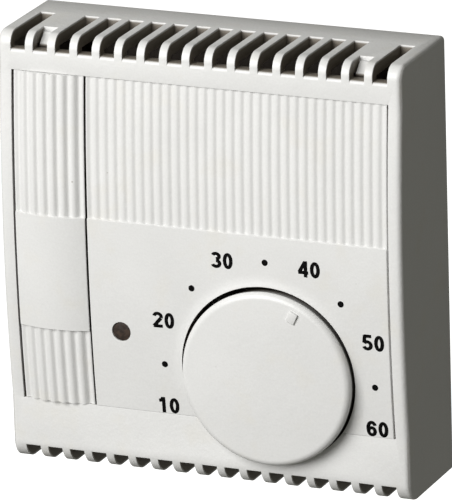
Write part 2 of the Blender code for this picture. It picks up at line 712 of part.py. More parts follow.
def build_all():
    """Make every piece of the thermostat."""
    build_base()
    build_cover()
    build_fascia()
    build_strip()
    build_dial()
    build_limit_ring("low_limit_ring", 11.9, 13.9, -STOP_ANGLE, "blue")
    build_limit_ring("high_limit_ring", 9.3, 11.5, STOP_ANGLE, "red")
    build_setting_control()
    build_lamp()
    build_board()
    for index, (x, z) in enumerate(BOARD_SCREWS):
        build_screw("board_screw_%d" % (index + 1), x, z, 2.4, PARTS_BACK, 10.2, 3.2,
                    SCREW_SHANK)
    first = -SLOT_PITCH * (SLOT_COUNT - 1) / 2
    build_catch("release_catch_left", first + SLOT_PITCH * CATCH_SLOTS[0])
    build_catch("release_catch_right", first + SLOT_PITCH * CATCH_SLOTS[1])
    build_terminals()
    build_relay()
    build_small_parts()


build_all()
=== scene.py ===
"""Looks of the wall thermostat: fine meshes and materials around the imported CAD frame.

Units in this file are millimetres, turned into metres where meshes are made. "Out" is
the distance from the wall towards the front, so a point that is 5 mm out has y = -5 mm.
"""

import json
import math

import bmesh
import bpy
from mathutils import Matrix, Vector


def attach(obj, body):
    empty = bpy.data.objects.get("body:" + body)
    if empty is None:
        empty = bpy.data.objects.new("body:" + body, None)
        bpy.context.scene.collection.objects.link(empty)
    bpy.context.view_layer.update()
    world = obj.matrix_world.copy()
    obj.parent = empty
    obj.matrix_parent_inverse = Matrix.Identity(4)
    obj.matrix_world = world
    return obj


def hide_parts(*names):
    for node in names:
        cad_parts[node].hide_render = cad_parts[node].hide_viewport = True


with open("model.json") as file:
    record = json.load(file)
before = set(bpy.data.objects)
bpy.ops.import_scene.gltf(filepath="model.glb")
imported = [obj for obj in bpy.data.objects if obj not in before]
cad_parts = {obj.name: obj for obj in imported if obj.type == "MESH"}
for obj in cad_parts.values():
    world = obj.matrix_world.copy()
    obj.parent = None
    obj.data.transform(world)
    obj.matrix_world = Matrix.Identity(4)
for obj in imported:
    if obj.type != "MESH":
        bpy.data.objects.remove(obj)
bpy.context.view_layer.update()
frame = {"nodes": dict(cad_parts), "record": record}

MM = 0.001

# Sizes that the CAD frame also has
HOUSING_WIDTH = 78.5
HOUSING_HEIGHT = 82.2
HOUSING_DEPTH = 21.2
UPPER_CORNER_RADIUS = 2.6
LOWER_CORNER_RADIUS = 4.0
END_RADIUS = 1.05
FRONT_WALL = 2.2
SIDE_WALL = 2.2
TOP_WALL = 2.4
PANEL_TOP = 34.1
PANEL_BOTTOM = -28.7
PANEL_LEFT = -36.47
PANEL_RIGHT = 36.6
PANEL_SPLIT = -22.22
GROOVE_WIDTH = 0.35
GROOVE_OUT = HOUSING_DEPTH - 1.7
FRONT_SWELL = 1.5
SWELL_MIDDLE = (PANEL_TOP + PANEL_BOTTOM) / 2
SWELL_REACH = (PANEL_TOP - PANEL_BOTTOM) / 2
SWELL_RADIUS = (SWELL_REACH ** 2 + FRONT_SWELL ** 2) / (2 * FRONT_SWELL)
POCKET_DEPTH = 0.9
INLAY_BACK = HOUSING_DEPTH - 0.6
RIB_ZONE_END = 7.5
LOWER_RIB_START = -14.1
PANEL_RIBS = 33
STRIP_RIBS = 7
STRIP_SWELL = 1.2
SLOT_COUNT = 17
SLOT_PITCH = 4.4
SLOT_WIDTH = 2.9
UPPER_SLOT_DROP = 3.05
LOWER_SLOT_DROP = 3.2
SLOT_LENGTH = 13.7
CATCH_SLOTS = (1, 15)
CATCH_SLOT_LENGTH = 5.2
DIAL_X = 12.7
DIAL_Z = -18.75
DIAL_RADIUS = 16.45
DIAL_BASE_RADIUS = 16.0
DIAL_OPENING = 16.9
DIAL_FACE_OUT = HOUSING_DEPTH + 3.6
DIAL_REST_ANGLE = 24.5
DIAL_DISC = 1.8
DIAL_SKIRT_WALL = 1.6
DIAL_SKIRT_OUT = 17.0
DIAL_DIMPLE = 0.4
HUB_RADIUS = 4.6
HUB_OUT = 17.4
SHAFT_BORE = 3.2
POINTER_INNER = 12.75
POINTER_OUTER = 14.8
BUSHING_HOLE = 4.4
WELL_WALL = 1.2
WELL_FLOOR_OUT = 15.8
LAMP_X = -16.1
LAMP_Z = -13.5
LAMP_HOLE = 1.85
LENS_RADIUS = 1.7
LENS_RIM_OUT = 22.05
LENS_DOME = 0.14
LENS_FLANGE = 2.7
LENS_FLANGE_OUT = 18.9
LENS_BACK = 17.9
PLATE_FRONT = 2.6
BASE_CLEARANCE = 0.35
BOSS_RADIUS = 2.6
BOSS_OUT = 6.0
BOSS_BORE = 1.6
BOSS_X = 23.8
BOSS_HEIGHTS = (-33.3, 4.7)
CABLE_WINDOW = ((-14.0, 20.4), (14.0, 30.6))
WALL_SLOT_X = 31.5
WALL_SLOT_SIZE = (3.9, 8.0)

# Finer details that only the looks have
EDGE_ROUNDING = 0.13
POCKET_SIZE = 16.0
POCKET_PITCH = 17.6
POCKET_LOW = -36.0
BACK_POCKET_DEPTH = 0.8
TOP_END_RADIUS = 0.8
BOTTOM_END_RADIUS = 0.3
LEDGE_RADIUS = 0.7
HAIRLINE = 0.08
RIB_DEPTH = 0.23
STRIP_RIB_DEPTH = 0.42
RIB_SINK = 0.25
STEPS_PER_RIB = 14
RIB_RAMP = 0.16
INLAY_EDGE_ROLL = 0.12
FLARE_HEIGHT = 0.32
FLARE_WIDTH = 2.2
DIAL_CROWN_OUT = 24.95
DIAL_CROWN_DROP = 0.45
DIAL_ROLL = 1.3
DIAL_ROLL_HEIGHT = 1.1
POINTER_HALF_WIDTH = 0.82
DIAL_PLAY = (0.2, -0.25)
NUMERAL_HEIGHT = 3.05
NUMERAL_STROKE = 0.205
NUMERAL_STRETCH = 1.13
NUMERAL_RADII = (22.14, 22.85)
NUMERAL_SHIFT = (0.2, 0.05)
NUMERAL_SQUASH = 1.05
DOT_RADIUS = 0.6
DOT_RADII = (20.55, 21.7)
DOT_SHIFT = (0.08, -0.2)
# Painted shade for slots, grooves and wells: a brownish and a near-black colour, and the depths
# where each sets in
SHADE = (0.19, 0.168, 0.14)
DEEP_SHADE = (0.035, 0.028, 0.022)
SHADE_SHARE = 0.6
SHADE_DEPTHS = (0.12, 0.5)
DEEP_SHADE_DEPTHS = (1.8, 5.0)
PRINT_THICKNESS = 0.02
DEGREES_PER_NUMERAL = 45.0

# Camera
CAMERA_AZIMUTH = 23.58
CAMERA_ELEVATION = 18.09
CAMERA_ROLL = -1.72
CAMERA_DISTANCE = 1268.0
CAMERA_TARGET = (4.12, -20.0, 3.44)
CAMERA_LENS = 507.0
SENSOR_HEIGHT = 36.0

# Studio: metres and watts
FLOOR_LEVEL = -0.30
FLOOR_SIZE = 6.0
KEY_AZIMUTH = -22
KEY_ELEVATION = 28
KEY_DISTANCE = 0.80
KEY_SIZE = 0.55
KEY_POWER = 8.6
SURROUND_STRENGTH = 0.14


# --- materials -------------------------------------------------------------

class Nodes:
    """Small helper that adds and links shader nodes of one material."""

    def __init__(self, name):
        self.material = bpy.data.materials.new(name)
        self.material.use_nodes = True
        self.tree = self.material.node_tree
        self.shader = self.tree.nodes["Principled BSDF"]
        self.coords = self.tree.nodes.new("ShaderNodeTexCoord").outputs["Object"]

    def node(self, kind, **settings):
        item = self.tree.nodes.new(kind)
        for key, value in settings.items():
            setattr(item, key, value)
        return item

    def link(self, output, socket):
        self.tree.links.new(output, socket)

    def noise(self, scale, detail=2.0, roughness=0.5, stretch=None):
        """Noise in object space; scale is in cycles per metre."""
        item = self.node("ShaderNodeTexNoise")
        item.inputs["Scale"].default_value = scale
        item.inputs["Detail"].default_value = detail
        item.inputs["Roughness"].default_value = roughness
        source = self.coords
        if stretch:
            mapping = self.node("ShaderNodeMapping")
            mapping.inputs["Scale"].default_value = stretch
            self.link(source, mapping.inputs["Vector"])
            source = mapping.outputs["Vector"]
        self.link(source, item.inputs["Vector"])
        return item.outputs["Fac"]

    def remap(self, value, low, high, to_low, to_high, smooth=False):
        """Map a range of a value to another, clamped."""
        item = self.node("ShaderNodeMapRange")
        item.interpolation_type = "SMOOTHSTEP" if smooth else "LINEAR"
        self.link(value, item.inputs["Value"])
        for name, number in (("From Min", low), ("From Max", high),
                             ("To Min", to_low), ("To Max", to_high)):
            item.inputs[name].default_value = number
        return item.outputs["Result"]

    def mix(self, factor, first, second):
        """Mix two colours, each a tuple or an output."""
        item = self.node("ShaderNodeMix", data_type="RGBA")
        self.link(factor, item.inputs["Factor"])
        for value, socket in ((first, item.inputs[6]), (second, item.inputs[7])):
            if isinstance(value, tuple):
                socket.default_value = (*value, 1.0)
            else:
                self.link(value, socket)
        return item.outputs[2]

    def add(self, first, second, operation="ADD"):
        """Combine two values, or a value and a number."""
        item = self.node("ShaderNodeMath", operation=operation)
        self.link(first, item.inputs[0])
        if isinstance(second, float):
            item.inputs[1].default_value = second
        else:
            self.link(second, item.inputs[1])
        return item.outputs[0]

    def position(self):
        """Object-space x, out and z in millimetres."""
        split = self.node("ShaderNodeSeparateXYZ")
        self.link(self.coords, split.inputs["Vector"])
        x, y, z = (split.outputs[axis] for axis in ("X", "Y", "Z"))
        return (self.add(x, 1000.0, "MULTIPLY"), self.add(y, -1000.0, "MULTIPLY"),
                self.add(z, 1000.0, "MULTIPLY"))

    def inverted(self, value):
        """One minus a value."""
        return self.remap(value, 0.0, 1.0, 1.0, 0.0)

    def bump(self, height, distance, strength=1.0):
        item = self.node("ShaderNodeBump")
        item.inputs["Strength"].default_value = strength
        item.inputs["Distance"].default_value = distance
        self.link(height, item.inputs["Height"])
        self.link(item.outputs["Normal"], self.shader.inputs["Normal"])

    def set(self, **values):
        for name, value in values.items():
            self.shader.inputs[name.replace("_", " ")].default_value = value


def shade(colour, factor):
    """Scale a colour."""
    return tuple(channel * factor for channel in colour)


def corner_depth(nodes, out, height, radius):
    """Depth of a point inside the front face, one end face and their round corner."""
    past_front = nodes.add(out, -(HOUSING_DEPTH - radius))
    past_end = nodes.add(height, -(HOUSING_HEIGHT / 2 - radius))
    across = nodes.add(past_front, 0.0, "MAXIMUM")
    along = nodes.add(past_end, 0.0, "MAXIMUM")
    reach = nodes.add(nodes.add(nodes.add(across, 2.0, "POWER"),
                                nodes.add(along, 2.0, "POWER")), 0.5, "POWER")
    inside = nodes.add(nodes.add(past_front, past_end, "MAXIMUM"), 0.0, "MINIMUM")
    total = nodes.add(reach, inside)
    return nodes.add(nodes.add(total, -1.0, "MULTIPLY"), radius)


def dial_distance(nodes, x, z):
    """Distance from the dial's axis."""
    across = nodes.add(nodes.add(x, -DIAL_X), 2.0, "POWER")
    along = nodes.add(nodes.add(z, -DIAL_Z), 2.0, "POWER")
    return nodes.add(nodes.add(across, along), 0.5, "POWER")


def housing_shade(nodes):
    """Dark in the slots, grooves and dial well, where hardly any light gets in."""
    x, out, z = nodes.position()
    upper = corner_depth(nodes, out, z, UPPER_CORNER_RADIUS)
    lower = corner_depth(nodes, out, nodes.add(z, -1.0, "MULTIPLY"), LOWER_CORNER_RADIUS)
    side = nodes.add(nodes.add(nodes.add(x, 0.0, "ABSOLUTE"), -1.0, "MULTIPLY"),
                     HOUSING_WIDTH / 2)
    depth = nodes.add(nodes.add(upper, lower, "MINIMUM"), side, "MINIMUM")
    depth = nodes.add(depth, out, "MINIMUM")
    shallow = nodes.remap(depth, *SHADE_DEPTHS, 0.0, SHADE_SHARE, True)
    deep = nodes.add(shallow, nodes.remap(depth, *DEEP_SHADE_DEPTHS, 0.0, 1 - SHADE_SHARE, True))
    well = nodes.add(dial_distance(nodes, x, z), DIAL_OPENING + 0.02, "LESS_THAN")
    catch = SLOT_PITCH * (SLOT_COUNT - 1) / 2 - SLOT_PITCH
    beside = nodes.add(nodes.add(nodes.add(x, 0.0, "ABSOLUTE"), -catch), 0.0, "ABSOLUTE")
    rear = nodes.add(nodes.add(beside, SLOT_WIDTH / 2 + 0.02, "LESS_THAN"),
                     nodes.add(z, HOUSING_HEIGHT / 2 - TOP_WALL, "GREATER_THAN"), "MULTIPLY")
    rear = nodes.add(rear, nodes.add(out, HOUSING_DEPTH - CATCH_SLOT_LENGTH + 0.05,
                                     "LESS_THAN"), "MULTIPLY")
    shaded = nodes.add(deep, nodes.inverted(rear), "MULTIPLY")
    return nodes.add(shaded, well, "MAXIMUM")


def inlay_shade(nodes):
    """Painted shade on the inlays' hidden side walls and on the wall of the dial opening."""
    x, _, z = nodes.position()
    edge = GROOVE_WIDTH / 2
    walls = nodes.add(dial_distance(nodes, x, z), DIAL_OPENING + 0.02, "LESS_THAN")
    for place in (PANEL_LEFT + edge, PANEL_SPLIT - edge, PANEL_SPLIT + edge):
        near = nodes.add(nodes.add(x, -place), 0.0, "ABSOLUTE")
        walls = nodes.add(walls, nodes.add(near, 0.012, "LESS_THAN"), "MAXIMUM")
    return walls


def dial_shade(nodes):
    """Painted shade on the dial's skirt, inside the well."""
    _, out, _ = nodes.position()
    skirt = nodes.remap(out, 21.2, 23.0, 0.5, 0.0, True)
    return nodes.add(skirt, nodes.remap(out, 20.2, 21.4, 0.5, 0.0, True))


def base_shade(nodes):
    """Painted shade on the base inside the housing, except for the catches' noses."""
    _, out, z = nodes.position()
    inside = nodes.remap(out, PLATE_FRONT - 0.3, PLATE_FRONT, 0.0, 1.0)
    nose = nodes.remap(z, 38.2, 38.7, 1.0, 0.0)
    return nodes.add(inside, nose, "MULTIPLY")


def moulded_plastic(name, colour, roughness=0.46, grain=0.010, specks=0.5, mask=None):
    """Textured ABS: fine spark grain, faint clouds, a little dust, some smudges, and painted
    shade by mask.
    """
    nodes = Nodes(name)
    clouds = nodes.noise(45.0, 4.0, 0.6)
    blotches = nodes.noise(160.0, 3.0, 0.55)
    fine = nodes.noise(2600.0, 2.0, 0.6)
    tone = nodes.mix(nodes.remap(clouds, 0.3, 0.7, 0.0, 1.0), shade(colour, 0.955),
                     shade(colour, 1.012))
    warm = (colour[0] * 0.975, colour[1] * 0.962, colour[2] * 0.93)
    tone = nodes.mix(nodes.remap(blotches, 0.52, 0.74, 0.0, 0.8, True), tone, warm)
    tone = nodes.mix(nodes.remap(fine, 0.35, 0.75, 0.0, 0.13), tone, shade(colour, 0.6))
    dust = nodes.node("ShaderNodeTexVoronoi")
    dust.inputs["Scale"].default_value = 210.0
    nodes.link(nodes.coords, dust.inputs["Vector"])
    spot = nodes.remap(dust.outputs["Distance"], 0.025, 0.05, 1.0, 0.0, True)
    rarity = nodes.remap(nodes.noise(90.0, 1.0), 0.60, 0.64, 0.0, specks)
    tone = nodes.mix(nodes.add(spot, rarity, "MULTIPLY"), tone, (0.30, 0.27, 0.24))
    # Painted shade: the mask darkens recesses towards SHADE, and the deepest ones towards
    # DEEP_SHADE.
    if mask:
        shade_amount = mask(nodes)
        tone = nodes.mix(nodes.remap(shade_amount, 0.0, SHADE_SHARE, 0.0, 1.0), tone, SHADE)
        tone = nodes.mix(nodes.remap(shade_amount, SHADE_SHARE, 1.0, 0.0, 1.0), tone,
                         DEEP_SHADE)
    nodes.link(tone, nodes.shader.inputs["Base Color"])
    rough = nodes.add(nodes.remap(clouds, 0.3, 0.7, roughness - 0.04, roughness + 0.05),
                      nodes.remap(fine, 0.3, 0.7, -0.03, 0.03))
    nodes.link(rough, nodes.shader.inputs["Roughness"])
    grain_height = nodes.add(nodes.noise(2000.0, 3.0, 0.65),
                             nodes.remap(nodes.noise(900.0, 2.0), 0.3, 0.7, 0.0, 0.5))
    nodes.bump(grain_height, grain * MM, 1.0)
    nodes.set(Specular_IOR_Level=0.5, IOR=1.53)
    return nodes.material


def plain_plastic(name, colour, roughness=0.4, scale=1800.0, variation=0.12):
    """Small moulded part: light grain and an uneven gloss."""
    nodes = Nodes(name)
    cloud = nodes.noise(220.0, 3.0)
    tone = nodes.mix(nodes.remap(cloud, 0.3, 0.7, 0.0, 1.0), shade(colour, 1 - variation),
                     shade(colour, 1 + variation * 0.5))
    nodes.link(tone, nodes.shader.inputs["Base Color"])
    nodes.link(nodes.remap(cloud, 0.3, 0.7, roughness - 0.06, roughness + 0.08),
               nodes.shader.inputs["Roughness"])
    nodes.bump(nodes.noise(scale, 2.0), 0.006 * MM)
    return nodes.material


def metal(name, colour, roughness=0.28, stretch=(1.0, 14.0, 1.0)):
    """Plated or drawn metal with fine drawn lines and dull patches."""
    nodes = Nodes(name)
    lines = nodes.noise(900.0, 3.0, 0.6, stretch)
    patches = nodes.noise(260.0, 3.0)
    tone = nodes.mix(nodes.remap(patches, 0.35, 0.7, 0.0, 1.0), colour, shade(colour, 0.82))
    nodes.link(tone, nodes.shader.inputs["Base Color"])
    rough = nodes.add(nodes.remap(patches, 0.3, 0.7, roughness - 0.06, roughness + 0.1),
                      nodes.remap(lines, 0.3, 0.7, -0.04, 0.06))
    nodes.link(rough, nodes.shader.inputs["Roughness"])
    nodes.bump(lines, 0.004 * MM)
    nodes.set(Metallic=1.0)
    return nodes.material


def circuit_board_material():
    """Green solder mask over copper tracks, with a fine noise grain."""
    nodes = Nodes("board_mask")
    mapping = nodes.node("ShaderNodeMapping")
    mapping.inputs["Rotation"].default_value = (math.radians(90), 0, 0)
    nodes.link(nodes.coords, mapping.inputs["Vector"])
    tracks = nodes.node("ShaderNodeTexBrick")
    tracks.offset = 0.37
    tracks.squash = 1.6
    tracks.inputs["Scale"].default_value = 150.0
    tracks.inputs["Mortar Size"].default_value = 0.06
    tracks.inputs["Mortar Smooth"].default_value = 0.1
    nodes.link(mapping.outputs["Vector"], tracks.inputs["Vector"])
    tone = nodes.mix(tracks.outputs["Fac"], (0.018, 0.13, 0.06), (0.035, 0.22, 0.10))
    nodes.link(tone, nodes.shader.inputs["Base Color"])
    height = nodes.add(tracks.outputs["Fac"], nodes.noise(2400.0, 2.0))
    nodes.bump(height, 0.02 * MM)
    nodes.set(Roughness=0.35)
    return nodes.material


def lens_material():
    """Smoked acrylic with a faint cloudy core."""
    nodes = Nodes("smoked_lens")
    cloud = nodes.noise(900.0, 3.0, 0.6)
    tone = nodes.mix(nodes.remap(cloud, 0.42, 0.66, 0.0, 1.0, True), (0.026, 0.018, 0.014),
                     (0.060, 0.040, 0.030))
    nodes.link(tone, nodes.shader.inputs["Base Color"])
    nodes.link(nodes.remap(nodes.noise(1500.0), 0.3, 0.7, 0.30, 0.48),
               nodes.shader.inputs["Roughness"])
    nodes.set(IOR=1.49)
    nodes.bump(nodes.noise(1400.0, 2.0), 0.006 * MM)
    return nodes.material


def ink_material():
    """Pad-printed black ink, a touch uneven at its thin spots."""
    nodes = Nodes("scale_ink")
    cloud = nodes.noise(2600.0, 2.0)
    tone = nodes.mix(nodes.remap(cloud, 0.35, 0.75, 0.0, 1.0), (0.002, 0.002, 0.002),
                     (0.007, 0.007, 0.007))
    nodes.link(tone, nodes.shader.inputs["Base Color"])
    nodes.link(nodes.remap(cloud, 0.3, 0.7, 0.42, 0.6), nodes.shader.inputs["Roughness"])
    nodes.set(Specular_IOR_Level=0.04)
    return nodes.material


def coil_material():
    """Enamelled copper winding with its turns as fine ridges across the bobbin."""
    nodes = Nodes("coil_winding")
    wave = nodes.node("ShaderNodeTexWave", bands_direction="Z")
    wave.inputs["Scale"].default_value = 900.0
    nodes.link(nodes.coords, wave.inputs["Vector"])
    # Painted shade: the colour darkens where the ridges dip, between the turns.
    tone = nodes.mix(wave.outputs["Fac"], (0.30, 0.10, 0.04), (0.75, 0.32, 0.14))
    nodes.link(tone, nodes.shader.inputs["Base Color"])
    nodes.bump(wave.outputs["Fac"], 0.08 * MM)
    nodes.set(Metallic=0.8, Roughness=0.32)
    return nodes.material


def glass_material():
    """Clear fuse glass."""
    nodes = Nodes("fuse_glass")
    nodes.set(Base_Color=(0.85, 0.92, 0.92, 1.0), Transmission_Weight=0.9, IOR=1.5)
    nodes.link(nodes.remap(nodes.noise(700.0), 0.3, 0.7, 0.04, 0.14),
               nodes.shader.inputs["Roughness"])
    return nodes.material


WHITE = (0.72, 0.72, 0.712)
MATERIALS = {
    "housing": moulded_plastic("housing_plastic", WHITE, 0.42, 0.034, 0.6, housing_shade),
    "inlay": moulded_plastic("inlay_plastic", WHITE, 0.40, 0.026, 0.6, inlay_shade),
    "dial": moulded_plastic("dial_plastic", WHITE, 0.38, 0.022, 0.4, dial_shade),
    "base": moulded_plastic("base_plastic", WHITE, 0.46, 0.012, 0.5, base_shade),
    "lens": lens_material(),
    "lamp": plain_plastic("lamp_red", (0.50, 0.05, 0.03), 0.15),
    "board": circuit_board_material(),
    "black_plastic": plain_plastic("black_plastic", (0.025, 0.025, 0.027), 0.45),
    "steel": metal("plated_steel", (0.62, 0.62, 0.61)),
    "brass": metal("brass", (0.74, 0.56, 0.26), 0.26),
    "copper": coil_material(),
    "grey_plastic": plain_plastic("grey_plastic", (0.30, 0.31, 0.33), 0.45),
    "red_plastic": plain_plastic("red_plastic", (0.55, 0.05, 0.04), 0.42),
    "blue_plastic": plain_plastic("blue_plastic", (0.05, 0.13, 0.46), 0.35),
    "yellow_film": plain_plastic("yellow_film", (0.72, 0.50, 0.09), 0.3),
    "aluminium": metal("aluminium_can", (0.72, 0.72, 0.73), 0.25, (14.0, 14.0, 1.0)),
    "fuse_glass": glass_material(),
    "ink": ink_material(),
}


# --- mesh helpers ----------------------------------------------------------

def swell(z):
    """How far the inlaid front stands out at height z, on one circular arc."""
    offset = min(abs(z - SWELL_MIDDLE), SWELL_REACH)
    return math.sqrt(SWELL_RADIUS ** 2 - offset ** 2) - (SWELL_RADIUS - FRONT_SWELL)


def arc(centre, radius, start, end, count):
    """Points on an arc, in degrees, from start to end."""
    points = []
    for index in range(count + 1):
        angle = math.radians(start + (end - start) * index / count)
        points.append((centre[0] + radius * math.cos(angle),
                       centre[1] + radius * math.sin(angle)))
    return points


def spread(start, end, count):
    """count + 1 evenly spaced values."""
    return [start + (end - start) * index / count for index in range(count + 1)]


def to_object(name, bm):
    """Make a scene object from a bmesh with outward faces."""
    bmesh.ops.recalc_face_normals(bm, faces=bm.faces)
    mesh = bpy.data.meshes.new(name)
    bm.to_mesh(mesh)
    bm.free()
    obj = bpy.data.objects.new(name, mesh)
    bpy.context.scene.collection.objects.link(obj)
    return obj


def box(name, low, high):
    """Box between two (x, out, z) corners."""
    bm = bmesh.new()
    bmesh.ops.create_cube(bm, size=1.0)
    low_point = Vector((low[0], -high[1], low[2])) * MM
    high_point = Vector((high[0], -low[1], high[2])) * MM
    size = high_point - low_point
    middle = (high_point + low_point) / 2
    for vert in bm.verts:
        vert.co = Vector((vert.co[i] * size[i] + middle[i] for i in range(3)))
    return to_object(name, bm)


def cylinder(name, x, z, radius, back, front, segments=192):
    """Cylinder along Y from one depth to another, centred on (x, z)."""
    bm = bmesh.new()
    bmesh.ops.create_cone(bm, cap_ends=True, segments=segments, radius1=radius * MM,
                          radius2=radius * MM, depth=(front - back) * MM)
    turn = Matrix.Rotation(math.radians(90), 4, "X")
    place = Matrix.Translation(Vector((x, -(front + back) / 2, z)) * MM)
    bmesh.ops.transform(bm, matrix=place @ turn, verts=bm.verts)
    return to_object(name, bm)


def turned(name, profile, x, z, steps=192):
    """Closed body of revolution about the Y line through (x, z).

    The (radius, out) profile runs down the outer side; it starts and ends on the axis.
    """
    bm = bmesh.new()
    rings = []
    for radius, out in profile:
        if radius == 0:
            rings.append([bm.verts.new(Vector((x, -out, z)) * MM)])
            continue
        ring = []
        for index in range(steps):
            angle = 2 * math.pi * index / steps
            ring.append(bm.verts.new(Vector((x + radius * math.sin(angle), -out,
                                             z + radius * math.cos(angle))) * MM))
        rings.append(ring)
    for upper, lower in zip(rings, rings[1:]):
        for index in range(steps):
            follow = (index + 1) % steps
            corners = [upper[index % len(upper)], upper[follow % len(upper)],
                       lower[follow % len(lower)], lower[index % len(lower)]]
            unique = list(dict.fromkeys(corners))
            if len(unique) > 2:
                bm.faces.new(unique)
    return to_object(name, bm)


def apply_modifiers(obj):
    """Freeze an object's modifiers into its mesh."""
    bpy.context.view_layer.update()
    graph = bpy.context.evaluated_depsgraph_get()
    mesh = bpy.data.meshes.new_from_object(obj.evaluated_get(graph))
    obj.modifiers.clear()
    obj.data = mesh
    return obj


def boolean(target, other, operation="DIFFERENCE"):
    """Cut or join, apply at once, and drop the tool object."""
    modifier = target.modifiers.new("Boolean", "BOOLEAN")
    modifier.operation = operation
    modifier.solver = "EXACT"
    modifier.object = other
    apply_modifiers(target)
    bpy.data.objects.remove(other, do_unlink=True)
    return target


def merge(name, pieces):
    """Join separate tool objects that don't touch."""
    bm = bmesh.new()
    for piece in pieces:
        bm.from_mesh(piece.data)
        bpy.data.objects.remove(piece, do_unlink=True)
    return to_object(name, bm)


def round_edges(obj, width, segments=3, angle=40):
    """Bevel every edge that turns more than the angle."""
    modifier = obj.modifiers.new("Bevel", "BEVEL")
    modifier.width = width * MM
    modifier.segments = segments
    modifier.limit_method = "ANGLE"
    modifier.angle_limit = math.radians(angle)
    modifier.use_clamp_overlap = True
    modifier.harden_normals = False
    return apply_modifiers(obj)


def smooth(obj, angle=32):
    """Shade smooth, with sharp edges above the angle."""
    obj.data.shade_smooth()
    obj.data.set_sharp_from_angle(angle=math.radians(angle))
    return obj


def finish_piece(obj, material, slot, body, *replaced):
    """Give a piece its material, and let it ride on its body; the slot is not used."""
    obj.data.materials.clear()
    obj.data.materials.append(MATERIALS[material])
    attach(obj, body)
    if replaced:
        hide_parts(*replaced)
    return obj


# --- housing ---------------------------------------------------------------

def facing_arc(centre, radius, start, end, count):
    """Arc as (point, outward direction) pairs, in degrees from start to end."""
    pairs = []
    for degrees in spread(start, end, count):
        facing = (math.cos(math.radians(degrees)), math.sin(math.radians(degrees)))
        pairs.append(((centre[0] + radius * facing[0], centre[1] + radius * facing[1]), facing))
    return pairs


def housing_outline():
    """Side view of the housing as ((out, z), outward direction) pairs."""
    half = HOUSING_HEIGHT / 2
    front = HOUSING_DEPTH
    lower = LOWER_CORNER_RADIUS
    upper = UPPER_CORNER_RADIUS
    points = [((0.0, -half), (0.0, -1.0))]
    points += facing_arc((front - lower, -half + lower), lower, -90, 0, 14)
    for z in spread(PANEL_BOTTOM, PANEL_TOP, 36):
        lean = (z - SWELL_MIDDLE) / SWELL_RADIUS
        points.append(((front + swell(z), z), (math.sqrt(1 - lean ** 2), lean)))
    points += facing_arc((front - upper, half - upper), upper, 0, 90, 12)
    points.append(((0.0, half), (0.0, 1.0)))
    return points


def end_radius(facing):
    """Rounding of the end edges: full in front, less on top, nearly sharp below."""
    across = TOP_END_RADIUS if facing[1] > 0 else BOTTOM_END_RADIUS
    return END_RADIUS * facing[0] ** 2 + across * facing[1] ** 2


def housing_block():
    """Outer block of the housing, lofted through inset outlines at both ends."""
    bm = bmesh.new()
    end_x = HOUSING_WIDTH / 2
    outline = housing_outline()
    rings = []
    for side, angles in ((-1, spread(90, 0, 8)), (1, spread(0, 90, 8))):
        for degrees in angles:
            turn = math.radians(degrees)
            ring = []
            for (out, z), facing in outline:
                radius = end_radius(facing)
                inset = radius * (1 - math.cos(turn))
                x = side * (end_x - radius * (1 - math.sin(turn)))
                ring.append(bm.verts.new(Vector((x, -(out - inset * facing[0]),
                                                 z - inset * facing[1])) * MM))
            rings.append(ring)
    for first, second in zip(rings, rings[1:]):
        for index in range(len(outline)):
            follow = (index + 1) % len(outline)
            bm.faces.new((first[index], first[follow], second[follow], second[index]))
    bm.faces.new(rings[0])
    bm.faces.new(rings[-1])
    return to_object("housing_cover", bm)


def prism_along_x(name, outline, low_x, high_x):
    """Prism with an (out, z) outline between two x values."""
    bm = bmesh.new()
    ends = [[bm.verts.new(Vector((x, -out, z)) * MM) for out, z in outline]
            for x in (low_x, high_x)]
    for index in range(len(outline)):
        follow = (index + 1) % len(outline)
        bm.faces.new((ends[0][index], ends[0][follow], ends[1][follow], ends[1][index]))
    for ring in ends:
        bm.faces.new(ring)
    return to_object(name, bm)


def slot_row(upper):
    """One row of slot cutters along the top or bottom front edge."""
    pieces = []
    first = -SLOT_PITCH * (SLOT_COUNT - 1) / 2
    half = HOUSING_HEIGHT / 2
    for index in range(SLOT_COUNT):
        x = first + SLOT_PITCH * index
        length = SLOT_LENGTH
        if upper and index in CATCH_SLOTS:
            length = CATCH_SLOT_LENGTH
        sides = (x - SLOT_WIDTH / 2, x + SLOT_WIDTH / 2)
        if not upper:
            pieces.append(box("slot", (sides[0], HOUSING_DEPTH - length, -half - 1),
                              (sides[1], HOUSING_DEPTH + 2, -half + LOWER_SLOT_DROP)))
            continue
        # The ledge at the bottom of an upper slot has a round front edge.
        floor = half - UPPER_SLOT_DROP
        rear = HOUSING_DEPTH - length
        outline = [(rear, half + 1), (rear, floor)]
        outline += arc((HOUSING_DEPTH - LEDGE_RADIUS, floor - LEDGE_RADIUS), LEDGE_RADIUS,
                       90, 0, 6)
        outline += [(HOUSING_DEPTH + 2, floor - LEDGE_RADIUS), (HOUSING_DEPTH + 2, half + 1)]
        pieces.append(prism_along_x("slot", outline, *sides))
    return merge("slots", pieces)


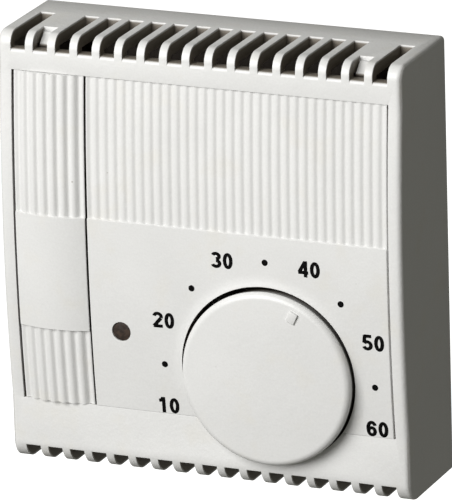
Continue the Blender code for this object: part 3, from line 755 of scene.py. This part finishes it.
def build_cover():
    """Fine housing: slots, inlay recess, dark side grooves, dial well, soft edges."""
    half_x = HOUSING_WIDTH / 2
    half_z = HOUSING_HEIGHT / 2
    cover = housing_block()
    boolean(cover, box("cavity", (-half_x + SIDE_WALL, -2, -half_z + TOP_WALL),
                       (half_x - SIDE_WALL, HOUSING_DEPTH - FRONT_WALL, half_z - TOP_WALL)))
    boolean(cover, box("pocket", (PANEL_LEFT - GROOVE_WIDTH / 2, HOUSING_DEPTH - POCKET_DEPTH,
                                  PANEL_BOTTOM),
                       (PANEL_RIGHT + GROOVE_WIDTH / 2, HOUSING_DEPTH + 4, PANEL_TOP)))
    grooves = []
    inset = 0.01
    for x in (PANEL_LEFT, PANEL_SPLIT, PANEL_RIGHT):
        grooves.append(box("groove", (x - GROOVE_WIDTH / 2 + inset, GROOVE_OUT,
                                      PANEL_BOTTOM + inset),
                           (x + GROOVE_WIDTH / 2 - inset, HOUSING_DEPTH + 3,
                            PANEL_TOP - inset)))
    boolean(cover, merge("grooves", grooves))
    boolean(cover, slot_row(True))
    boolean(cover, slot_row(False))
    boolean(cover, cylinder("well_block", DIAL_X, DIAL_Z, DIAL_OPENING + WELL_WALL,
                            WELL_FLOOR_OUT - WELL_WALL, HOUSING_DEPTH - 1.6), "UNION")
    boolean(cover, cylinder("well_space", DIAL_X, DIAL_Z, DIAL_OPENING, WELL_FLOOR_OUT,
                            HOUSING_DEPTH + 4))
    boolean(cover, cylinder("bushing_hole", DIAL_X, DIAL_Z, BUSHING_HOLE, 12, 17, 64))
    boolean(cover, box("stop_fin", (DIAL_X - 0.8, WELL_FLOOR_OUT - 0.6, DIAL_Z - 13.9),
                       (DIAL_X + 0.8, 19.0, DIAL_Z - 9.3)), "UNION")
    boolean(cover, cylinder("lamp_hole", LAMP_X, LAMP_Z, LAMP_HOLE, 10, 30, 64))
    round_edges(cover, EDGE_ROUNDING)
    smooth(cover)
    finish_piece(cover, "housing", "housing", "housing", "cover_shell")


# --- inlaid front ----------------------------------------------------------

def rib_profile(x, start, end, count, depth):
    """Depth below the crest for a row of round ribs, half a rib in from either edge."""
    phase = (x - start) / (end - start) * count
    return depth * ((1 - math.cos(2 * math.pi * phase)) / 2) ** 1.4


def opening_flare(x, z):
    """Raised lip of the dial field round the dial, fading towards the lower band."""
    distance = math.hypot(x - DIAL_X, z - DIAL_Z)
    near = max(0.0, 1 - max(0.0, distance - DIAL_OPENING) / FLARE_WIDTH)
    fade = min(1.0, max(0.0, (z - PANEL_BOTTOM) / 4.0))
    return FLARE_HEIGHT * near ** 2 * fade


def rib_amount(z, zones):
    """1 inside a ribbed zone, 0 outside, with a short ramp at each end."""
    amount = 0.0
    for low, high in zones:
        if low <= z <= high:
            amount = min(1.0, (z - low) / RIB_RAMP, (high - z) / RIB_RAMP)
            amount = max(amount, 0.0)
    return amount


def zone_rows(zones, low, high):
    """Heights of the grid rows: close together at each ramp, wide apart elsewhere."""
    ramp = RIB_RAMP
    stops = {low, high}
    for start, end in zones:
        stops.update((start, start + ramp / 2, start + ramp, end - ramp, end - ramp / 2, end))
    stops = sorted(value for value in stops if low <= value <= high)
    rows = []
    for first, second in zip(stops, stops[1:]):
        count = max(1, round((second - first) / 0.5))
        rows += spread(first, second, count)[:-1]
    rows.append(stops[-1])
    return rows


def swept_inlay(name, left, right, ribs, depth, zones, extra):
    """Plate with a flat back and a fine, computed front surface."""
    low = PANEL_BOTTOM + HAIRLINE
    high = PANEL_TOP - HAIRLINE
    edge_roll = INLAY_EDGE_ROLL
    columns = [left, left + edge_roll * 0.3]
    columns += spread(left + edge_roll, right - edge_roll, ribs * STEPS_PER_RIB)
    columns += [right - edge_roll * 0.3, right]
    rows = zone_rows(zones, low, high)
    bm = bmesh.new()
    front = []
    back = []
    for z in rows:
        front_row = []
        back_row = []
        for x in columns:
            amount = rib_amount(z, zones)
            out = HOUSING_DEPTH + swell(z) + extra(x, z)
            out -= amount * (RIB_SINK + rib_profile(x, left, right, ribs, depth))
            edge = min(x - left, right - x)
            if edge < edge_roll:
                out -= edge_roll - math.sqrt(edge_roll ** 2 - (edge_roll - edge) ** 2)
            front_row.append(bm.verts.new(Vector((x, -out, z)) * MM))
            back_row.append(bm.verts.new(Vector((x, -INLAY_BACK, z)) * MM))
        front.append(front_row)
        back.append(back_row)
    for upper, lower in zip(range(1, len(rows)), range(len(rows) - 1)):
        for index in range(len(columns) - 1):
            for grid in (front, back):
                bm.faces.new((grid[lower][index], grid[lower][index + 1],
                              grid[upper][index + 1], grid[upper][index]))
        for column in (0, -1):
            bm.faces.new((front[lower][column], front[upper][column],
                          back[upper][column], back[lower][column]))
    for row in (0, -1):
        for index in range(len(columns) - 1):
            bm.faces.new((front[row][index], front[row][index + 1],
                          back[row][index + 1], back[row][index]))
    return to_object(name, bm)


def soften_opening(obj, x, z, radius, width):
    """Round the front rim of a circular opening in a plate."""
    bm = bmesh.new()
    bm.from_mesh(obj.data)
    centre = Vector((x, z)) * MM
    edges = []
    for edge in bm.edges:
        on_rim = all(abs((Vector((v.co.x, v.co.z)) - centre).length - radius * MM) < 0.02 * MM
                     and v.co.y < -(INLAY_BACK + 0.1) * MM for v in edge.verts)
        if on_rim and len(edge.link_faces) == 2 and edge.calc_face_angle() > 1.0:
            edges.append(edge)
    bmesh.ops.bevel(bm, geom=edges, offset=width * MM, segments=3, profile=0.5,
                    affect="EDGES", clamp_overlap=True)
    bm.to_mesh(obj.data)
    bm.free()


def build_fascia():
    """Main inlay: round ribs above, smooth dial field below."""
    edge = GROOVE_WIDTH / 2
    zones = [(RIB_ZONE_END, PANEL_TOP + 1)]
    fascia = swept_inlay("ribbed_fascia", PANEL_SPLIT + edge, PANEL_RIGHT - edge, PANEL_RIBS,
                         RIB_DEPTH, zones, opening_flare)
    boolean(fascia, cylinder("opening", DIAL_X, DIAL_Z, DIAL_OPENING, 18, 30))
    boolean(fascia, cylinder("lamp_opening", LAMP_X, LAMP_Z, LAMP_HOLE, 18, 30, 64))
    soften_opening(fascia, DIAL_X, DIAL_Z, DIAL_OPENING, 0.15)
    soften_opening(fascia, LAMP_X, LAMP_Z, LAMP_HOLE, 0.1)
    smooth(fascia, 50)
    finish_piece(fascia, "inlay", "inlay", "housing", "fascia_panel")


def build_strip():
    """Rounded bar at the left, ribbed above and below its plain band."""
    edge = GROOVE_WIDTH / 2
    left = PANEL_LEFT + edge
    right = PANEL_SPLIT - edge
    middle = (left + right) / 2
    half = (right - left) / 2
    zones = [(PANEL_BOTTOM - 1, LOWER_RIB_START), (RIB_ZONE_END, PANEL_TOP + 1)]
    strip = swept_inlay("ribbed_side_bar", left, right, STRIP_RIBS, STRIP_RIB_DEPTH, zones,
                        lambda x, z: STRIP_SWELL * (1 - ((x - middle) / half) ** 2))
    smooth(strip, 50)
    finish_piece(strip, "inlay", "inlay", "housing", "side_strip")


# --- dial ------------------------------------------------------------------

def build_dial():
    """Smooth, faintly domed dial with a raised pointer bar, hollow behind.

    It hangs a little off its axis, by the play of its loose fit on the shaft.
    """
    centre_x = DIAL_X + DIAL_PLAY[0]
    centre_z = DIAL_Z + DIAL_PLAY[1]
    crown = DIAL_CROWN_OUT
    flat = DIAL_RADIUS - DIAL_ROLL
    under = DIAL_FACE_OUT - DIAL_DISC
    bore_end = under - DIAL_DIMPLE
    inner = DIAL_BASE_RADIUS - DIAL_SKIRT_WALL
    shoulder = crown - DIAL_CROWN_DROP
    soft = 0.15
    profile = [(radius, crown - DIAL_CROWN_DROP * (radius / flat) ** 2)
               for radius in spread(0.0, flat, 16)]
    for degrees in spread(8, 90, 12):
        turn = math.radians(degrees)
        profile.append((flat + DIAL_ROLL * math.sin(turn),
                        shoulder - DIAL_ROLL_HEIGHT * (1 - math.cos(turn))))
    profile += [(16.3, 22.9), (16.1, 22.1), (DIAL_BASE_RADIUS, 21.4),
                (DIAL_BASE_RADIUS, DIAL_SKIRT_OUT + soft),
                (DIAL_BASE_RADIUS - soft, DIAL_SKIRT_OUT), (inner, DIAL_SKIRT_OUT),
                (inner, under), (HUB_RADIUS, under), (HUB_RADIUS, HUB_OUT),
                (SHAFT_BORE, HUB_OUT), (SHAFT_BORE, bore_end), (0.0, bore_end)]
    dial = turned("setting_dial", profile, centre_x, centre_z, 256)
    smooth(dial, 30)
    finish_piece(dial, "dial", "dial", "dial", "dial_knob")
    pointer = box("dial_pointer", (-POINTER_HALF_WIDTH, shoulder - 0.6, POINTER_INNER),
                  (POINTER_HALF_WIDTH, crown + 0.02, POINTER_OUTER))
    turn = Matrix.Rotation(math.radians(DIAL_REST_ANGLE), 4, "Y")
    pointer.data.transform(Matrix.Translation(Vector((centre_x, 0, centre_z)) * MM) @ turn)
    round_edges(pointer, 0.12)
    smooth(pointer)
    finish_piece(pointer, "dial", "dial", "dial")


def build_lens():
    """Smoked lens with a slight dome, almost flush in its hole."""
    rim = LENS_RADIUS + 0.06
    dome = [(radius, LENS_RIM_OUT + LENS_DOME * math.cos(radius / rim * math.pi / 2))
            for radius in spread(0.0, rim, 12)]
    profile = dome + [(rim, LENS_FLANGE_OUT), (LENS_FLANGE, LENS_FLANGE_OUT),
                      (LENS_FLANGE, LENS_BACK), (0.0, LENS_BACK)]
    lens = turned("lamp_window", profile, LAMP_X, LAMP_Z, 64)
    smooth(lens)
    finish_piece(lens, "lens", "lens", "housing", "lamp_lens")


# --- printed scale ---------------------------------------------------------

def stroke_points(kind, *numbers):
    """Points of one pen stroke: a straight line, or an arc with two radii."""
    if kind == "line":
        return [tuple(numbers[0:2]), tuple(numbers[2:4])]
    x, y, radius_x, radius_y, start, end = numbers
    count = max(6, round(abs(end - start) / 9))
    points = []
    for angle in spread(start, end, count):
        points.append((x + radius_x * math.cos(math.radians(angle)),
                       y + radius_y * math.sin(math.radians(angle))))
    return points


# Strokes of each numeral in a box 0.56 wide and 1 high, along the pen's middle
EDGE = NUMERAL_STROKE / 2
NUMERALS = {
    "0": [("arc", 0.28, 0.50, 0.28 - EDGE, 0.50 - EDGE, 0, 360)],
    "1": [("line", 0.33, 0.0, 0.33, 1.0), ("arc", 0.07, 1.0, 0.235, 0.235, -90, -8)],
    "2": [("arc", 0.28, 0.70, 0.20, 0.30 - EDGE, 172, -20),
          ("line", 0.462, 0.62, 0.05, 0.09), ("line", 0.02, EDGE, 0.55, EDGE)],
    "3": [("arc", 0.27, 0.735, 0.185, 0.265 - EDGE, 160, -90),
          ("arc", 0.27, 0.285, 0.205, 0.285 - EDGE, 90, -160)],
    "4": [("line", 0.41, 0.0, 0.41, 1.0), ("line", 0.0, 0.285, 0.56, 0.285),
          ("line", 0.385, 0.95, 0.055, 0.30)],
    "5": [("line", 0.11, 1 - EDGE, 0.51, 1 - EDGE), ("line", 0.145, 0.96, 0.095, 0.47),
          ("arc", 0.27, 0.325, 0.205, 0.325 - EDGE, 148, -158)],
    "6": [("arc", 0.285, 0.325, 0.285 - EDGE, 0.325 - EDGE, 0, 360),
          ("arc", 0.30, 0.50, 0.215, 0.50 - EDGE, 195, 30)],
}


def ribbon(points, half_width):
    """Left and right sides of a pen stroke of constant width."""
    left = []
    right = []
    closed = math.dist(points[0], points[-1]) < 1e-6
    for index, point in enumerate(points):
        before = points[index - 1] if index else (points[-2] if closed else point)
        after = points[index + 1] if index + 1 < len(points) else (points[1] if closed else point)
        direction = Vector((after[0] - before[0], after[1] - before[1])).normalized()
        across = Vector((-direction.y, direction.x)) * half_width
        left.append((point[0] + across.x, point[1] + across.y))
        right.append((point[0] - across.x, point[1] - across.y))
    return left, right


def print_surface(x, z, lift):
    """Point on the dial field, lifted by the ink's thickness."""
    return Vector((x, -(HOUSING_DEPTH + swell(z) + lift), z)) * MM


def add_slab(bm, outline_pairs):
    """Thin closed slab over a strip of (left, right) point pairs on the dial field."""
    top = [[bm.verts.new(print_surface(x, z, PRINT_THICKNESS)) for x, z in pair]
           for pair in outline_pairs]
    bottom = [[bm.verts.new(print_surface(x, z, -0.03)) for x, z in pair]
              for pair in outline_pairs]
    last = len(outline_pairs) - 1
    for index in range(last):
        a, b = top[index]
        c, d = top[index + 1]
        e, f = bottom[index]
        g, h = bottom[index + 1]
        bm.faces.new((a, b, d, c))
        bm.faces.new((e, g, h, f))
        bm.faces.new((a, c, g, e))
        bm.faces.new((b, f, h, d))
    bm.faces.new((top[0][0], bottom[0][0], bottom[0][1], top[0][1]))
    bm.faces.new((top[last][0], top[last][1], bottom[last][1], bottom[last][0]))


def clock_point(radii, angle, squash=1.0):
    """Point on an oval round the dial at a clock angle, in degrees from the top."""
    height = math.cos(math.radians(angle))
    return (DIAL_X + radii[0] * math.sin(math.radians(angle)),
            DIAL_Z + radii[1] * math.copysign(abs(height) ** squash, height))


def build_numeral(text, centre_x, centre_z, name):
    """Upright number made of pen strokes, centred on a point of the dial field."""
    digit_width = 0.56
    advance = 0.66
    width = advance * (len(text) - 1) + digit_width
    bm = bmesh.new()
    for place, digit in enumerate(text):
        for stroke in NUMERALS[digit]:
            left, right = ribbon(stroke_points(*stroke), NUMERAL_STROKE / 2)
            pairs = []
            for sides in zip(left, right):
                start = advance * place - width / 2
                stretch = NUMERAL_HEIGHT * NUMERAL_STRETCH
                pairs.append([(centre_x + (x + start) * stretch,
                               centre_z + (y - 0.5) * NUMERAL_HEIGHT) for x, y in sides])
            add_slab(bm, pairs)
    numeral = to_object(name, bm)
    finish_piece(numeral, "ink", None, "housing")


def build_scale():
    """Numbers 10 to 60 round the dial, with a dot halfway between each two."""
    for step in range(6):
        angle = DEGREES_PER_NUMERAL * (step - 2.5)
        x, z = clock_point(NUMERAL_RADII, angle, NUMERAL_SQUASH)
        value = 10 * (step + 1)
        build_numeral(str(value), x + NUMERAL_SHIFT[0], z + NUMERAL_SHIFT[1],
                      "scale_%d" % value)
    for step in range(5):
        x, z = clock_point(DOT_RADII, DEGREES_PER_NUMERAL * (step - 2))
        x += DOT_SHIFT[0]
        z += DOT_SHIFT[1]
        bm = bmesh.new()
        pairs = []
        for angle in spread(0.0, 180.0, 16):
            across = DOT_RADIUS * math.sin(math.radians(angle))
            along = z + DOT_RADIUS * math.cos(math.radians(angle))
            pairs.append([(x - across, along), (x + across, along)])
        add_slab(bm, pairs)
        finish_piece(to_object("scale_dot_%d" % (15 + 10 * step), bm), "ink", None, "housing")


# --- base plate ------------------------------------------------------------

def build_base():
    """Back plate with soft edges, board bosses and shallow pockets between its webs."""
    half_x = HOUSING_WIDTH / 2 - SIDE_WALL - BASE_CLEARANCE
    half_z = HOUSING_HEIGHT / 2 - TOP_WALL - BASE_CLEARANCE
    plate = box("moulded_base", (-half_x, 0, -half_z), (half_x, PLATE_FRONT, half_z))
    for x in (-BOSS_X, BOSS_X):
        for z in BOSS_HEIGHTS:
            boolean(plate, cylinder("boss", x, z, BOSS_RADIUS, PLATE_FRONT - 1.0, BOSS_OUT, 48),
                    "UNION")
            boolean(plate, cylinder("bore", x, z, BOSS_BORE, 1.2, 7.9, 48))
    low, high = CABLE_WINDOW
    openings = [box("window", (low[0], -2, low[1]), (high[0], 6, high[1]))]
    for x in (-WALL_SLOT_X, WALL_SLOT_X):
        openings.append(box("wall_slot", (x - WALL_SLOT_SIZE[0] / 2, -2, -WALL_SLOT_SIZE[1] / 2),
                            (x + WALL_SLOT_SIZE[0] / 2, 6, WALL_SLOT_SIZE[1] / 2)))
    boolean(plate, merge("openings", openings))
    pockets = []
    for column in (-1, 0, 1):
        for row in range(3):
            x = column * POCKET_PITCH
            z = POCKET_LOW + POCKET_PITCH * row
            pockets.append(box("back_pocket", (x - POCKET_SIZE / 2, -1, z),
                               (x + POCKET_SIZE / 2, BACK_POCKET_DEPTH, z + POCKET_SIZE)))
    boolean(plate, merge("back_pockets", pockets))
    round_edges(plate, 0.2)
    smooth(plate)
    finish_piece(plate, "base", "base", "housing", "base_plate")


# --- carried-over CAD nodes ------------------------------------------------

def dress_cad_nodes():
    """Give every CAD node the fine material of its slot."""
    slots = {row["node"]: row["material_slot"] for row in frame["record"]["subparts"]}
    for name, obj in frame["nodes"].items():
        obj.data.materials.clear()
        obj.data.materials.append(MATERIALS[slots[name]])


# --- stage -----------------------------------------------------------------

def build_floor():
    """Plain pale floor, well below the hanging thermostat."""
    bm = bmesh.new()
    bmesh.ops.create_grid(bm, x_segments=1, y_segments=1, size=FLOOR_SIZE)
    bmesh.ops.translate(bm, vec=(0, 0, FLOOR_LEVEL), verts=bm.verts)
    floor = to_object("floor", bm)
    material = bpy.data.materials.new("pale_floor")
    material.use_nodes = True
    shader = material.node_tree.nodes["Principled BSDF"]
    shader.inputs["Base Color"].default_value = (0.9, 0.9, 0.9, 1.0)
    shader.inputs["Roughness"].default_value = 0.9
    shader.inputs["Emission Color"].default_value = (1.0, 1.0, 1.0, 1.0)
    shader.inputs["Emission Strength"].default_value = 1.0
    floor.data.materials.append(material)
    floor.visible_diffuse = False
    floor.visible_glossy = False


def area_light(name, azimuth, elevation, distance, size, power, colour=(1, 1, 1)):
    """Square soft light that faces the thermostat; azimuth 0 is straight in front."""
    data = bpy.data.lights.new(name, "AREA")
    data.shape = "SQUARE"
    data.size = size
    data.energy = power
    data.color = colour
    light = bpy.data.objects.new(name, data)
    bpy.context.scene.collection.objects.link(light)
    side = math.radians(azimuth)
    rise = math.radians(elevation)
    direction = Vector((math.sin(side) * math.cos(rise), -math.cos(side) * math.cos(rise),
                        math.sin(rise)))
    light.location = direction * distance
    light.rotation_euler = direction.to_track_quat("Z", "Y").to_euler()


def build_lights():
    """Key from the upper left, and a weak even surround."""
    area_light("key_light", KEY_AZIMUTH, KEY_ELEVATION, KEY_DISTANCE, KEY_SIZE, KEY_POWER,
               (1.0, 0.995, 0.985))
    world = bpy.context.scene.world or bpy.data.worlds.new("surround")
    bpy.context.scene.world = world
    world.use_nodes = True
    background = world.node_tree.nodes["Background"]
    background.inputs["Color"].default_value = (1.0, 0.99, 0.89, 1.0)
    background.inputs["Strength"].default_value = SURROUND_STRENGTH
    bpy.context.scene.view_settings.view_transform = "Standard"
    bpy.context.scene.view_settings.look = "None"


def build_camera():
    """Long lens from the front right, a little above."""
    data = bpy.data.cameras.new("camera")
    data.sensor_fit = "VERTICAL"
    data.sensor_height = SENSOR_HEIGHT
    data.lens = CAMERA_LENS
    data.clip_start = 0.05
    data.clip_end = 20.0
    side = math.radians(CAMERA_AZIMUTH)
    rise = math.radians(CAMERA_ELEVATION)
    roll = math.radians(CAMERA_ROLL)
    backward = Vector((math.sin(side) * math.cos(rise), -math.cos(side) * math.cos(rise),
                       math.sin(rise)))
    level = Vector((math.cos(side), math.sin(side), 0.0))
    upright = backward.cross(level)
    right = level * math.cos(roll) + upright * math.sin(roll)
    up = upright * math.cos(roll) - level * math.sin(roll)
    camera = bpy.data.objects.new("camera", data)
    bpy.context.scene.collection.objects.link(camera)
    basis = Matrix((right, up, backward)).transposed()
    place = (Vector(CAMERA_TARGET) + backward * CAMERA_DISTANCE) * MM
    camera.matrix_world = Matrix.Translation(place) @ basis.to_4x4()
    bpy.context.scene.camera = camera


build_cover()
build_fascia()
build_strip()
build_dial()
build_lens()
build_scale()
build_base()
dress_cad_nodes()
build_floor()
build_lights()
build_camera()
